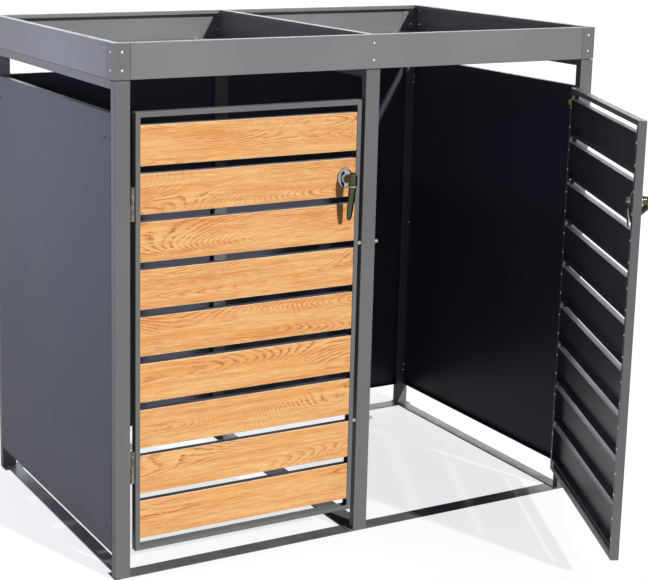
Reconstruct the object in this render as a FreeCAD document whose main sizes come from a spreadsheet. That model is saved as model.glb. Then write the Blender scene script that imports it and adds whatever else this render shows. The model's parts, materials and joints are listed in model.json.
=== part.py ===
import FreeCAD, Part
import math
import os
import re

import Sketcher

# A metal store for two wheelie bins: a post frame with a planter on top, wall panels
# and two doors of folded slats. Millimetres, +X right, -Y the door side, +Z up.
# The origin is the centre of the footprint, on the ground.

Vector = FreeCAD.Vector
Rotation = FreeCAD.Rotation
LEFT_TO_RIGHT = Vector(1, 0, 0)
FRONT_TO_BACK = Vector(0, 1, 0)
RIVET_SIDES = 8

SIZES = {
    "overall_width": 1370,
    "overall_depth": 836,
    "overall_height": 1282,
    "sheet_gauge": 1.5,
    "post_width": 40,
    "post_depth": 20,
    "post_wall": 1.5,
    "post_corner": 2,
    "post_top_gap": 2,
    "post_top_chamfer": 0.8,
    "cross_rail_depth": 44,
    "cross_rail_thickness": 2,
    "long_rail_thickness": 4,
    "side_rail_width": 34,
    "side_rail_inset": 12,
    "middle_rail_width": 64,
    "top_rail_height": 21.5,
    "top_rail_width": 20,
    "fascia_height": 83.5,
    "fascia_lip": 20,
    "fascia_hem": 10,
    "fascia_foot": 20,
    "corner_leg": 40,
    "corner_seam": 1,
    "tongue_margin": 12,
    "divider_cap": 20,
    "divider_foot": 28,
    "tray_clearance": 4,
    "vent_slot": 55,
    "panel_bottom": 62,
    "panel_lip": 15,
    "door_bottom": 64,
    "door_top_gap": 74.5,
    "hinge_gap": 13,
    "latch_gap": 10,
    "frame_lip": 12,
    "slat_count": 9,
    "slat_gap": 18,
    "rivet_radius": 3,
    "rivet_rise": 1.2,
    "rivet_inset": 7,
    "rivet_spread": 26,
    "fascia_rivet_end": 21,
    "panel_rivet_end": 59,
    "panel_rivet_side": 32,
    "hinge_radius": 5,
    "hinge_length": 80,
    "hinge_setback": 3,
    "hinge_from_end": 172,
    "hinge_leaf": 7,
    "hinge_leaf_thickness": 2.5,
    "hinge_pin_radius": 3,
    "hinge_play": 0.05,
    "hinge_washer_gap": 0.3,
    "buffer_radius": 4.5,
    "buffer_length": 9.5,
    "buffer_setback": 6.5,
    "buffer_high": 764,
    "buffer_low": 300,
    "handle_backset": 44,
    "handle_slat": 2,
    "rosette_radius": 20.5,
    "rosette_stretch": 6,
    "rosette_rise": 7,
    "rosette_round": 5,
    "tail_radius": 8,
    "tail_play": 0.2,
    "tail_end": 14,
    "tail_nut_radius": 13.5,
    "tail_nut_height": 6,
    "spindle_radius": 4,
    "spindle_play": 0.1,
    "spindle_end": 3,
    "neck_radius": 10.5,
    "neck_end": 13,
    "neck_play": 0.3,
    "lever_stand_off": 38,
    "lever_hub_radius": 11,
    "lever_hub_top": 20,
    "lever_hub_bottom": 15.5,
    "lever_bead": 0.5,
    "lever_bead_height": 1.4,
    "lever_blade_radius": 10,
    "lever_reach": 102,
    "lever_tip_radius": 5.6,
    "lever_inward": 14,
    "cam_reach": 68,
    "cam_hub": 9,
    "cam_tip": 6.5,
    "cam_thickness": 3,
    "cam_play": 1,
    "cam_clearance": 4,
    "cam_crank_start": 14,
    "cam_crank_end": 27,
    "cam_nut_radius": 7.5,
    "cam_nut_height": 7,
    "right_door_open": 65,
    "right_lever_turn": 55,
}

# Lengths that follow from the sizes above.
DERIVED = {
    "bend_radius": "sheet_gauge - 0.1",
    "door_depth": "post_depth",
    "slat_depth": "door_depth - 2 * sheet_gauge",
    "tongue_length": "corner_leg + corner_seam - 4 * sheet_gauge",
    "beside_corner": "corner_leg + corner_seam",
    "post_height": "planter_bottom - post_top_gap - long_rail_thickness",
    "half_width": "overall_width / 2",
    "half_depth": "overall_depth / 2",
    "planter_bottom": "overall_height - fascia_height",
    "rail_bottom": "planter_bottom - top_rail_height",
    "panel_top": "rail_bottom - vent_slot",
    "panel_height": "panel_top - panel_bottom",
    "clear_depth": "overall_depth - 2 * post_depth",
    "door_left": "post_width + hinge_gap - half_width",
    "door_right": "0 - post_width / 2 - latch_gap",
    "door_width": "door_right - door_left",
    "door_top": "planter_bottom - door_top_gap",
    "door_height": "door_top - door_bottom",
    "slat_length": "door_width - 2 * sheet_gauge",
    "slat_pitch": "(door_height - 2 * frame_lip - slat_gap) / slat_count",
    "slat_height": "slat_pitch - slat_gap",
    "hinge_x": "post_width + hinge_gap / 2 - half_width",
    "hinge_y": "hinge_setback - half_depth",
    "handle_x": "door_right - handle_backset",
    "handle_z": "door_top - frame_lip - (handle_slat - 0.5) * slat_pitch - slat_gap / 2",
    "cam_front": "door_depth + cam_clearance",
    "cam_seat": "tail_end + cam_play",
    "cam_nut_back": "cam_seat + cam_thickness",
    "tongue_top": "fascia_height - tongue_margin",
}

doc = FreeCAD.newDocument("BinStore")
sheet = doc.addObject("Spreadsheet::Sheet", "Sizes")
for row, (alias, amount) in enumerate(SIZES.items(), start=1):
    sheet.set(f"A{row}", alias)
    sheet.set(f"B{row}", str(amount))
    sheet.setAlias(f"B{row}", alias)
doc.recompute()

nodes = {}


def expand(text, write_size):
    """A formula with its derived lengths written out and each size put through write_size."""

    def word(match):
        name = match.group(0)
        if name in DERIVED:
            return "(" + expand(DERIVED[name], write_size) + ")"
        return write_size(name) if name in SIZES else name

    return re.sub(r"[a-z]+(?:_[a-z]+)*", word, str(text))


def cells(text):
    """A formula as an expression on the sheet's cells."""
    return expand(text, lambda name: "Sizes." + name)


def number(text):
    """A formula's present value."""
    return FreeCAD.Units.parseQuantity(expand(text, lambda name: str(sheet.get(name)))).Value


def keep(label, part):
    """Registers a sub-part under the name of its node."""
    part.Label = label
    nodes[label] = part
    return part


def place(part, x, y, z):
    part.setExpression("Placement.Base.x", cells(x))
    part.setExpression("Placement.Base.y", cells(y))
    part.setExpression("Placement.Base.z", cells(z))


def new_body(label, x, y, z):
    body = doc.addObject("PartDesign::Body", label)
    place(body, x, y, z)
    return body


def rectangle(left, low, right, high):
    return [(left, low), (right, low), (right, high), (left, high)]


def circle(across, up, radius):
    return ("circle", across, up, radius)


def fix(sketch, kind, geometry, point, text):
    """Holds one coordinate of a point at a formula, or on the axis where the formula is 0."""
    axis = -2 if kind == "DistanceX" else -1
    if text == "0":
        sketch.addConstraint(Sketcher.Constraint("PointOnObject", geometry, point, axis))
        return
    index = sketch.addConstraint(Sketcher.Constraint(kind, -1, 1, geometry, point, number(text)))
    sketch.setExpression(f"Constraints[{index}]", cells(text))


def add_circle(sketch, across, up, radius):
    centre = Vector(number(across), number(up), 0)
    ring = sketch.addGeometry(Part.Circle(centre, Vector(0, 0, 1), number(radius)))
    fix(sketch, "DistanceX", ring, 3, across)
    fix(sketch, "DistanceY", ring, 3, up)
    index = sketch.addConstraint(Sketcher.Constraint("Radius", ring, number(radius)))
    sketch.setExpression(f"Constraints[{index}]", cells(radius))


def add_outline(sketch, points):
    corners = [Vector(number(across), number(up), 0) for across, up in points]
    first = None
    for i, (across, up) in enumerate(points):
        line = sketch.addGeometry(Part.LineSegment(corners[i], corners[(i + 1) % len(corners)]))
        first = line if first is None else first
        if i:
            sketch.addConstraint(Sketcher.Constraint("Coincident", line - 1, 2, line, 1))
        fix(sketch, "DistanceX", line, 1, across)
        fix(sketch, "DistanceY", line, 1, up)
    sketch.addConstraint(Sketcher.Constraint("Coincident", line, 2, first, 1))


def draw(body, plane, loops, offset="0"):
    """A sketch on one of the body's own planes, moved along the plane's normal by offset."""
    sketch = body.newObject("Sketcher::SketchObject", body.Name + "_sketch")
    support = next(face for face in body.Origin.OriginFeatures if face.Role == plane + "_Plane")
    sketch.AttachmentSupport = [(support, "")]
    sketch.MapMode = "FlatFace"
    sketch.setExpression("AttachmentOffset.Base.z", cells(offset))
    for loop in loops:
        if loop[0] == "circle":
            add_circle(sketch, *loop[1:])
        else:
            add_outline(sketch, loop)
    return sketch


def pad(body, sketch, length, back=False, both_ways=False):
    feature = body.newObject("PartDesign::Pad", body.Name + "_pad")
    feature.Profile = sketch
    feature.setExpression("Length", cells(length))
    feature.Reversed = back
    feature.Midplane = both_ways
    doc.recompute()
    return feature


def pocket(body, sketch, length, back=False, both_ways=False):
    """A pocket that is sure to have cut something."""
    before = body.Shape.Volume
    feature = body.newObject("PartDesign::Pocket", body.Name + "_pocket")
    feature.Profile = sketch
    feature.setExpression("Length", cells(length))
    feature.Reversed = back
    feature.Midplane = both_ways
    doc.recompute()
    if not body.Shape.Volume < before - 1e-6:
        raise RuntimeError("nothing cut in " + body.Label)
    return feature


def turn_profile(body, sketch):
    """A full turn of a profile round the sketch's upright axis."""
    feature = body.newObject("PartDesign::Revolution", body.Name + "_turned")
    feature.Profile = sketch
    feature.ReferenceAxis = (sketch, ["V_Axis"])
    feature.Angle = 360
    doc.recompute()
    return feature


def edges_where(feature, test):
    found = []
    for i, edge in enumerate(feature.Shape.Edges, start=1):
        if test(edge.Vertexes[0].Point, edge.Vertexes[-1].Point):
            found.append(f"Edge{i}")
    return found


def fillet(body, base, test, radius):
    """Rounds the edges of base that pass the test, which sees their two ends."""
    feature = body.newObject("PartDesign::Fillet", body.Name + "_fillet")
    feature.Base = (base, edges_where(base, test))
    feature.setExpression("Radius", cells(radius))
    doc.recompute()
    return feature


def chamfer(body, base, test, width):
    """Cuts a flat along the edges of base that pass the test."""
    feature = body.newObject("PartDesign::Chamfer", body.Name + "_chamfer")
    feature.Base = (base, edges_where(base, test))
    feature.setExpression("Size", cells(width))
    doc.recompute()
    return feature


def near(one, other):
    return abs(one - other) < 1e-4


def box(label, x, y, z, length, width, height):
    part = doc.addObject("Part::Box", label)
    part.setExpression("Length", cells(length))
    part.setExpression("Width", cells(width))
    part.setExpression("Height", cells(height))
    place(part, x, y, z)
    return keep(label, part)


def twin_of(source, label, normal=LEFT_TO_RIGHT):
    twin = doc.addObject("Part::Mirroring", label)
    twin.Source = source
    twin.Normal = normal
    return twin


def mirrored(source, label, normal=LEFT_TO_RIGHT):
    """The twin of a piece across the middle."""
    return keep(label, twin_of(source, label, normal))


def on_right_door(source, label, turned):
    """The twin of a piece of the left door, swung open with its door and turned with its lever."""
    placing = turn_about("0; 0; 1", "right_door_open", "0 - hinge_x; hinge_y; 0")
    if turned:
        placing += " * " + turn_about("0; -1; 0", "right_lever_turn", "0 - handle_x; 0; handle_z")
    twin = mirrored(source, label)
    twin.setExpression("Placement", cells(placing))
    return twin


def turn_about(axis, angle, centre):
    return f"placement(vector(0; 0; 0); rotation(vector({axis}); {angle}); vector({centre}))"


def group(label, parts):
    """Identical pieces that share one node, as separate solids."""
    bundle = doc.addObject("Part::Compound", label)
    bundle.Links = parts
    return keep(label, bundle)


def rivet_head(point, outward):
    """A low head with eight flats, whose base lies at point and which rises outward."""
    turn = Rotation(Vector(0, 0, 1), outward)
    rings = []
    for share, height in ((1, 0), (0.6, number("rivet_rise"))):
        radius = number("rivet_radius") * share
        corners = []
        for i in range(RIVET_SIDES + 1):
            angle = 2 * math.pi * i / RIVET_SIDES
            corner = Vector(radius * math.cos(angle), radius * math.sin(angle), height)
            corners.append(point + turn.multVec(corner))
        corners[-1] = corners[0]
        rings.append(Part.makePolygon(corners))
    return Part.makeLoft(rings, True, True)


def heads(label, places):
    """Rivet heads, each with its middle on a face and its outward direction."""
    part = doc.addObject("Part::Feature", label)
    part.Shape = Part.makeCompound([rivet_head(point, outward) for point, outward in places])
    return keep(label, part)


def pan(label, plane, at, width, height, depth, back):
    """A folded tray of sheet whose outer face lies on the plane through at."""
    body = new_body(label, *at)
    inward = f"0 - ({depth})" if back else depth
    block = pad(body, draw(body, plane, [rectangle("0", "0", width, height)]), depth, back)
    rounded = fillet(body, block, lambda a, b: is_on_face(plane, a) and is_on_face(plane, b), "bend_radius")
    inside = rectangle("sheet_gauge", "sheet_gauge", f"{width} - sheet_gauge", f"{height} - sheet_gauge")
    pocket(body, draw(body, plane, [inside], inward), f"{depth} - sheet_gauge", back)
    return body


def is_on_face(plane, point):
    return near(point.y if plane == "XZ" else point.x, 0)


def post(label, x, y):
    """A closed rectangular tube that stands on the floor rails and ends just under the planter."""
    body = new_body(label, x, y, "long_rail_thickness")
    outer = rectangle("0", "0", "post_width", "post_depth")
    inner = rectangle("post_wall", "post_wall", "post_width - post_wall", "post_depth - post_wall")
    tube = pad(body, draw(body, "XY", [outer, inner]), "post_height")
    across = (0, number("post_width"))
    along = (0, number("post_depth"))
    top = number("post_height")

    def on_outer_side(point):
        return any(near(point.x, x) for x in across) or any(near(point.y, y) for y in along)

    def is_outer_corner(a, b):
        return not near(a.z, b.z) and on_outer_side(a)

    def is_top_rim(a, b):
        return near(a.z, top) and near(b.z, top) and on_outer_side(a) and on_outer_side(b)

    sides = fillet(body, tube, is_outer_corner, "post_corner")
    chamfer(body, sides, is_top_rim, "post_top_chamfer")
    return keep(label, body)


def posts():
    front = "0 - half_depth"
    rear = "half_depth - post_depth"
    for place_name, y in (("front", front), ("rear", rear)):
        left = post(f"post_{place_name}_left", "0 - half_width", y)
        post(f"post_{place_name}_middle", "0 - post_width / 2", y)
        mirrored(left, f"post_{place_name}_right")


def long_floor_rail(label, x, width):
    """A flat rail from front to back, halved over the cross rails at its ends."""
    body = new_body(label, x, "0 - half_depth", "0")
    step = "cross_rail_thickness"
    near_end = "cross_rail_depth"
    far_end = "overall_depth - cross_rail_depth"
    top = "long_rail_thickness"
    profile = [
        ("0", step),
        (near_end, step),
        (near_end, "0"),
        (far_end, "0"),
        (far_end, step),
        ("overall_depth", step),
        ("overall_depth", top),
        ("0", top),
    ]
    pad(body, draw(body, "YZ", [profile]), width)
    return keep(label, body)


def floor_rails():
    depth = "cross_rail_depth"
    thickness = "cross_rail_thickness"
    box("floor_rail_front", "0 - half_width", "0 - half_depth", "0", "overall_width", depth, thickness)
    box("floor_rail_rear", "0 - half_width", f"half_depth - {depth}", "0", "overall_width", depth, thickness)
    left = long_floor_rail("floor_rail_left", "side_rail_inset - half_width", "side_rail_width")
    mirrored(left, "floor_rail_right")
    long_floor_rail("floor_rail_middle", "0 - middle_rail_width / 2", "middle_rail_width")


def top_rail(label, x, width):
    """A tube that carries the planter, between a front post and the rear post behind it."""
    body = new_body(label, x, "post_depth - half_depth", "rail_bottom")
    outer = rectangle("0", "0", width, "top_rail_height")
    inner = rectangle("post_wall", "post_wall", f"{width} - post_wall", "top_rail_height - post_wall")
    tube = pad(body, draw(body, "XZ", [outer, inner]), "clear_depth", back=True)
    ends = (0, number(width))

    def is_outer_corner(a, b):
        return not near(a.y, b.y) and any(near(a.x, x) for x in ends)

    fillet(body, tube, is_outer_corner, "post_corner")
    return keep(label, body)


def top_rails():
    left = top_rail("top_rail_left", "0 - half_width", "top_rail_width")
    mirrored(left, "top_rail_right")
    top_rail("top_rail_middle", "0 - post_width / 2", "post_width")


def walls():
    side_at = ("0 - half_width", "post_depth - half_depth", "panel_bottom")
    side = pan("side_panel_left", "YZ", side_at, "clear_depth", "panel_height", "panel_lip", False)
    mirrored(keep("side_panel_left", side), "side_panel_right")
    rear_at = ("post_width - half_width", "half_depth", "panel_bottom")
    rear_width = "half_width - 1.5 * post_width"
    rear = pan("rear_panel_left", "XZ", rear_at, rear_width, "panel_height", "panel_lip", False)
    mirrored(keep("rear_panel_left", rear), "rear_panel_right")


def fascia_profile():
    """The folded section of a planter side: wall, top lip with its hem, and foot."""
    inner = "sheet_gauge"
    top = "fascia_height"
    under_top = "fascia_height - sheet_gauge"
    hem_end = "fascia_height - fascia_hem"
    return [
        ("0", "0"),
        ("fascia_foot", "0"),
        ("fascia_foot", inner),
        (inner, inner),
        (inner, under_top),
        ("fascia_lip - sheet_gauge", under_top),
        ("fascia_lip - sheet_gauge", hem_end),
        ("fascia_lip", hem_end),
        ("fascia_lip", top),
        ("0", top),
    ]


def is_fascia_bend(a, b, across, along):
    """Whether an edge along the fascia is one of its outer bends."""
    height = number("fascia_height")
    lip = number("fascia_lip")
    if near(along(a), along(b)):
        return False
    on_wall = near(across(a), 0) and (near(a.z, 0) or near(a.z, height))
    return on_wall or (near(across(a), lip) and near(a.z, height))


def fascia(label, plane, at, length):
    """A planter side between two corner pieces, with a tongue behind each of them."""
    body = new_body(label, *at)
    crosswise = plane == "XZ"
    bar = pad(body, draw(body, plane, [fascia_profile()]), length, back=crosswise)

    def is_bend(a, b):
        if crosswise:
            return is_fascia_bend(a, b, lambda p: p.x, lambda p: p.y)
        return is_fascia_bend(a, b, lambda p: p.y, lambda p: p.x)

    fillet(body, bar, is_bend, "bend_radius")
    lap = "tongue_margin"
    tongues = [
        rectangle("0 - tongue_length", "tongue_margin", lap, "tongue_top"),
        rectangle(f"{length} - {lap}", "tongue_margin", f"{length} + tongue_length", "tongue_top"),
    ]
    if crosswise:
        pad(body, draw(body, "YZ", tongues, "sheet_gauge"), "sheet_gauge")
    else:
        pad(body, draw(body, "XZ", tongues, "0 - sheet_gauge"), "sheet_gauge", back=True)
    return keep(label, body)


def corner_angle(inner_edge, outer_edge):
    """An L-shaped outline between two distances in from the corner's outer faces."""
    leg = "corner_leg"
    return [
        (inner_edge, inner_edge),
        (leg, inner_edge),
        (leg, outer_edge),
        (outer_edge, outer_edge),
        (outer_edge, leg),
        (inner_edge, leg),
    ]


def corner_piece(label):
    """One corner of the planter: upright angle, foot, top lip and hem."""
    body = new_body(label, "0 - half_width", "0 - half_depth", "planter_bottom")
    layers = [
        ("0", "sheet_gauge", "0", "fascia_height"),
        ("0", "fascia_foot", "0", "sheet_gauge"),
        ("0", "fascia_lip", "fascia_height - sheet_gauge", "sheet_gauge"),
        ("fascia_lip - sheet_gauge", "fascia_lip", "fascia_height - fascia_hem", "fascia_hem"),
    ]
    for inner_edge, outer_edge, low, height in layers:
        pad(body, draw(body, "XY", [corner_angle(inner_edge, outer_edge)], low), height)
    return body


def planter_walls():
    front_at = ("beside_corner - half_width", "0 - half_depth", "planter_bottom")
    front = fascia("planter_front", "YZ", front_at, "overall_width - 2 * beside_corner")
    mirrored(front, "planter_rear", FRONT_TO_BACK)
    side_at = ("0 - half_width", "beside_corner - half_depth", "planter_bottom")
    side = fascia("planter_side_left", "XZ", side_at, "overall_depth - 2 * beside_corner")
    mirrored(side, "planter_side_right")
    corner = corner_piece("corner_front_left")
    front_pair = [corner, twin_of(corner, "corner_front_right")]
    rear_pair = [twin_of(piece, piece.Name.replace("front", "rear"), FRONT_TO_BACK) for piece in front_pair]
    group("planter_corners", front_pair + rear_pair)


def planter_divider():
    """The wall between the two trays, with a capped top edge and a foot."""
    body = new_body("planter_divider", "0", "0 - half_depth", "planter_bottom")
    half_web = "sheet_gauge / 2"
    hem_end = "fascia_height - fascia_hem"
    under_cap = "fascia_height - sheet_gauge"
    edge = "divider_cap / 2"
    hem_face = "divider_cap / 2 - sheet_gauge"
    web = rectangle(f"0 - {half_web}", "sheet_gauge", half_web, hem_end)
    cap = [
        (f"0 - {half_web}", hem_end),
        (half_web, hem_end),
        (half_web, under_cap),
        (hem_face, under_cap),
        (hem_face, hem_end),
        (edge, hem_end),
        (edge, "fascia_height"),
        (f"0 - {edge}", "fascia_height"),
        (f"0 - {edge}", hem_end),
        (f"0 - ({hem_face})", hem_end),
        (f"0 - ({hem_face})", under_cap),
        (f"0 - {half_web}", under_cap),
    ]
    foot = rectangle("0 - divider_foot / 2", "0", "divider_foot / 2", "sheet_gauge")
    flange = rectangle("0 - divider_cap / 2", "tongue_margin", "divider_cap / 2", "tongue_top")
    layers = [
        (web, "sheet_gauge", "overall_depth - 2 * sheet_gauge"),
        (cap, "fascia_lip", "overall_depth - 2 * fascia_lip"),
        (foot, "fascia_foot", "overall_depth - 2 * fascia_foot"),
        (flange, "sheet_gauge", "sheet_gauge"),
        (flange, "overall_depth - 2 * sheet_gauge", "sheet_gauge"),
    ]
    for outline, start, length in layers:
        pad(body, draw(body, "XZ", [outline], f"0 - ({start})"), length, back=True)
    keep("planter_divider", body)


def planter_trays():
    """Flat floors that lie on the feet of the planter's sides and of its divider."""
    gap = "(sheet_gauge + tray_clearance)"
    length = f"half_width - {gap} - sheet_gauge / 2 - tray_clearance"
    width = f"overall_depth - 2 * {gap}"
    at = (f"{gap} - half_width", f"{gap} - half_depth", "planter_bottom + sheet_gauge")
    mirrored(box("planter_tray_left", *at, length, width, "sheet_gauge"), "planter_tray_right")


def door_frame():
    """A welded surround of folded channel: walls round the edge, with a lip in front and behind."""
    body = new_body("left_door_frame", "door_left", "0 - half_depth", "door_bottom")
    whole = rectangle("0", "0", "door_width", "door_height")
    block = pad(body, draw(body, "XZ", [whole]), "door_depth", back=True)
    fillet(body, block, lambda a, b: near(a.y, 0) and near(b.y, 0), "bend_radius")
    lip = "frame_lip"
    window = rectangle(lip, lip, f"door_width - {lip}", f"door_height - {lip}")
    pocket(body, draw(body, "XZ", [window], "0 - door_depth"), "door_depth", back=True)
    gauge = "sheet_gauge"
    channel = rectangle(gauge, gauge, f"door_width - {gauge}", f"door_height - {gauge}")
    pocket(body, draw(body, "XZ", [channel], "0 - (door_depth - sheet_gauge)"), "slat_depth", back=True)
    return keep("left_door_frame", body)


def slat_bottom(count_from_top):
    return f"door_top - frame_lip - {count_from_top} * slat_pitch"


def slats():
    """Folded slats from top to bottom; the handle passes through one of them."""
    made = []
    for i in range(1, int(number("slat_count")) + 1):
        label = f"left_door_slat_{i}"
        at = ("door_left + sheet_gauge", "sheet_gauge - half_depth", slat_bottom(i))
        body = pan(label, "XZ", at, "slat_length", "slat_height", "slat_depth", True)
        if i == int(number("handle_slat")):
            hole = circle("handle_x - door_left - sheet_gauge", "slat_height / 2", "tail_radius + tail_play")
            pocket(body, draw(body, "XZ", [hole], "sheet_gauge"), "3 * sheet_gauge")
        made.append(keep(label, body))
    return made


def door_rivets():
    """Two rivets at each end of each slat, through the surround's rear lip."""
    back = number("door_depth - half_depth")
    ends = (number("door_left + rivet_inset"), number("door_right - rivet_inset"))
    spread = number("rivet_spread")
    places = []
    for i in range(1, int(number("slat_count")) + 1):
        middle = number(slat_bottom(i)) + number("slat_height") / 2
        for z in (middle - spread, middle + spread):
            for x in ends:
                places.append((Vector(x, back, z), FRONT_TO_BACK))
    return heads("left_door_rivets", places)


def hinge_half(label, low, height, bore, side):
    """A knuckle on its leaf: side is -1 for the leaf on the post and 1 for the one on the door."""
    body = new_body(label, "hinge_x", "hinge_y", low)
    pad(body, draw(body, "XY", [circle("0", "0", "hinge_radius")]), height)
    face = f"{side} * hinge_gap / 2"
    inner = f"{side} * (hinge_gap / 2 - hinge_leaf_thickness)"
    edges = (face, inner) if side < 0 else (inner, face)
    leaf = rectangle(edges[0], "0", edges[1], "hinge_leaf")
    pad(body, draw(body, "XY", [leaf]), height)
    pocket(body, draw(body, "XY", [circle("0", "0", bore)], height), height)
    return body


def hinges():
    """Lift-off hinges: the pin stands in the post's half and the door's half drops over it."""
    low_ends = {
        "low": "door_bottom + hinge_from_end",
        "high": "door_top - hinge_from_end - hinge_length",
    }
    knuckle = "hinge_length / 2"
    post_halves = []
    door_halves = []
    pins = []
    for name, low in low_ends.items():
        post_halves.append(hinge_half(f"post_half_{name}", low, knuckle, "hinge_pin_radius", -1))
        door_low = f"{low} + hinge_length / 2 + hinge_washer_gap"
        door_height = "hinge_length / 2 - hinge_washer_gap"
        door_bore = "hinge_pin_radius + hinge_play"
        door_halves.append(hinge_half(f"door_half_{name}", door_low, door_height, door_bore, 1))
        pin = doc.addObject("Part::Cylinder", f"pin_{name}")
        pin.setExpression("Radius", cells("hinge_pin_radius"))
        pin.setExpression("Height", cells("hinge_length"))
        place(pin, "hinge_x", "hinge_y", low)
        pins.append(pin)
    for label, halves in (("hinge_post_halves", post_halves), ("hinge_pins", pins)):
        group(label, halves + [twin_of(piece, piece.Name + "_right") for piece in halves])
    return group("left_hinge_door_halves", door_halves)


def buffers():
    """Rubber buffers on both sides of the middle post, where the doors' edges close."""
    parts = []
    for name in ("high", "low"):
        for side, turn in (("left", -90), ("right", 90)):
            part = doc.addObject("Part::Cylinder", f"buffer_{name}_{side}")
            part.setExpression("Radius", cells("buffer_radius"))
            part.setExpression("Height", cells("buffer_length"))
            part.Placement = FreeCAD.Placement(Vector(), Rotation(Vector(0, 1, 0), turn))
            sign = "0 -" if side == "left" else ""
            place(part, f"{sign} post_width / 2", "buffer_setback - half_depth", f"buffer_{name}")
            parts.append(part)
    group("door_buffers", parts)


def rosette():
    """An oval rose in front of the slat, with a tail through it that guides the spindle, and a nut."""
    body = new_body("left_rose", "handle_x", "0 - half_depth", "handle_z")
    seat = "0 - sheet_gauge"
    stretch = "rosette_stretch"
    radius = "rosette_radius"
    sides = rectangle(f"0 - {radius}", f"0 - {stretch}", radius, stretch)
    for outline in (circle("0", stretch, radius), circle("0", f"0 - {stretch}", radius), sides):
        plate = pad(body, draw(body, "XZ", [outline], seat), "rosette_rise + sheet_gauge")
    face = -number("rosette_rise")
    fillet(body, plate, lambda a, b: near(a.y, face) and near(b.y, face), "rosette_round")
    pad(body, draw(body, "XZ", [circle("0", "0", "neck_radius")]), "neck_end")
    pad(body, draw(body, "XZ", [circle("0", "0", "tail_radius")]), "tail_end", back=True)
    bore = draw(body, "XZ", [circle("0", "0", "spindle_radius + spindle_play")])
    pocket(body, bore, "2 * (neck_end + tail_end)", both_ways=True)
    back_nut = nut_on_spindle("left_back_nut", "2 * sheet_gauge", "tail_nut", "tail_radius")
    return group("left_handle_rosette", [body, back_nut])


def lever():
    """The lever: an upright hub on its neck and spindle, and a round blade that tapers to its tip."""
    body = new_body("left_handle_lever", "handle_x", "0 - half_depth - lever_stand_off", "handle_z")
    low = "0 - lever_hub_bottom"
    bead = "lever_hub_radius + lever_bead"
    bead_top = "lever_bead_height - lever_hub_bottom"
    profile = [
        ("0", low),
        (bead, low),
        (bead, bead_top),
        ("lever_hub_radius", bead_top),
        ("lever_hub_radius", "lever_hub_top"),
        ("0", "lever_hub_top"),
    ]
    hub = turn_profile(body, draw(body, "XZ", [profile]))
    top = number("lever_hub_top")
    fillet(body, hub, lambda a, b: near(a.z, top) and near(b.z, top), "lever_hub_radius - 0.2")
    neck_length = "lever_stand_off - neck_end - neck_play"
    pad(body, draw(body, "XZ", [circle("0", "0", "neck_radius")]), neck_length, back=True)
    spindle_length = "lever_stand_off + cam_nut_back + cam_nut_height + spindle_end"
    pad(body, draw(body, "XZ", [circle("0", "0", "spindle_radius")]), spindle_length, back=True)
    sections = []
    for share in (0, 0.35, 0.7, 1):
        z = f"0 - lever_hub_bottom - {share} * (lever_reach - lever_hub_bottom)"
        radius = f"lever_blade_radius * (1 - {share}) + lever_tip_radius * {share}"
        ring = circle("0", f"{share} * lever_inward", radius)
        sections.append(draw(body, "XY", [ring], z))
    blade = body.newObject("PartDesign::AdditiveLoft", body.Name + "_blade")
    blade.Profile = sections[0]
    blade.Sections = sections[1:]
    doc.recompute()
    tip = -number("lever_reach")
    fillet(body, blade, lambda a, b: near(a.z, tip) and near(b.z, tip), "lever_tip_radius * 0.85")
    return keep("left_handle_lever", body)


def cam():
    """The cranked arm that turns behind the middle post, and the nut that holds it."""
    arm = new_body("left_latch_arm", "handle_x", "0 - half_depth", "handle_z")
    from_above = [
        ("0 - cam_hub", "cam_seat"),
        ("cam_crank_start", "cam_seat"),
        ("cam_crank_end", "cam_front"),
        ("cam_reach", "cam_front"),
        ("cam_reach", "cam_front + cam_thickness"),
        ("cam_crank_end", "cam_front + cam_thickness"),
        ("cam_crank_start", "cam_nut_back"),
        ("0 - cam_hub", "cam_nut_back"),
    ]
    pad(arm, draw(arm, "XY", [from_above]), "2 * cam_hub", both_ways=True)
    frame = rectangle("0 - 2 * cam_hub", "0 - 2 * cam_hub", "cam_reach + cam_hub", "2 * cam_hub")
    outline = [
        ("0 - cam_hub", "0 - cam_hub"),
        ("cam_reach", "0 - cam_tip"),
        ("cam_reach", "cam_tip"),
        ("0 - cam_hub", "cam_hub"),
    ]
    depth = "2 * (cam_front + 2 * cam_thickness)"
    sides = pocket(arm, draw(arm, "XZ", [frame, outline]), depth, both_ways=True)
    near_hub = fillet(arm, sides, crosswise_edge_at(-number("cam_hub")), "cam_hub * 0.9")
    fillet(arm, near_hub, crosswise_edge_at(number("cam_reach")), "cam_tip * 0.9")
    bore = draw(arm, "XZ", [circle("0", "0", "spindle_radius")])
    pocket(arm, bore, depth, both_ways=True)
    nut = nut_on_spindle("left_cam_nut", "cam_nut_back", "cam_nut", "spindle_radius")
    return group("left_latch_cam", [arm, nut])


def crosswise_edge_at(x):
    """A test for edges through the sheet at one distance along the arm."""

    def test(a, b):
        return near(a.x, x) and near(b.x, x) and near(a.z, b.z)

    return test


def nut_on_spindle(label, back, size, bore):
    """A hexagon nut round the handle's axis, from back towards the inside of the store."""
    body = new_body(label, "handle_x", "0 - half_depth", "handle_z")
    flat = f"{size}_radius * 0.866025"
    corner = f"{size}_radius"
    half = f"{size}_radius / 2"
    hexagon = [
        (corner, "0"),
        (half, flat),
        (f"0 - {half}", flat),
        (f"0 - {corner}", "0"),
        (f"0 - {half}", f"0 - {flat}"),
        (half, f"0 - {flat}"),
    ]
    outlines = [hexagon, circle("0", "0", bore)]
    pad(body, draw(body, "XZ", outlines, f"0 - ({back})"), f"{size}_height", back=True)
    return body


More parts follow.
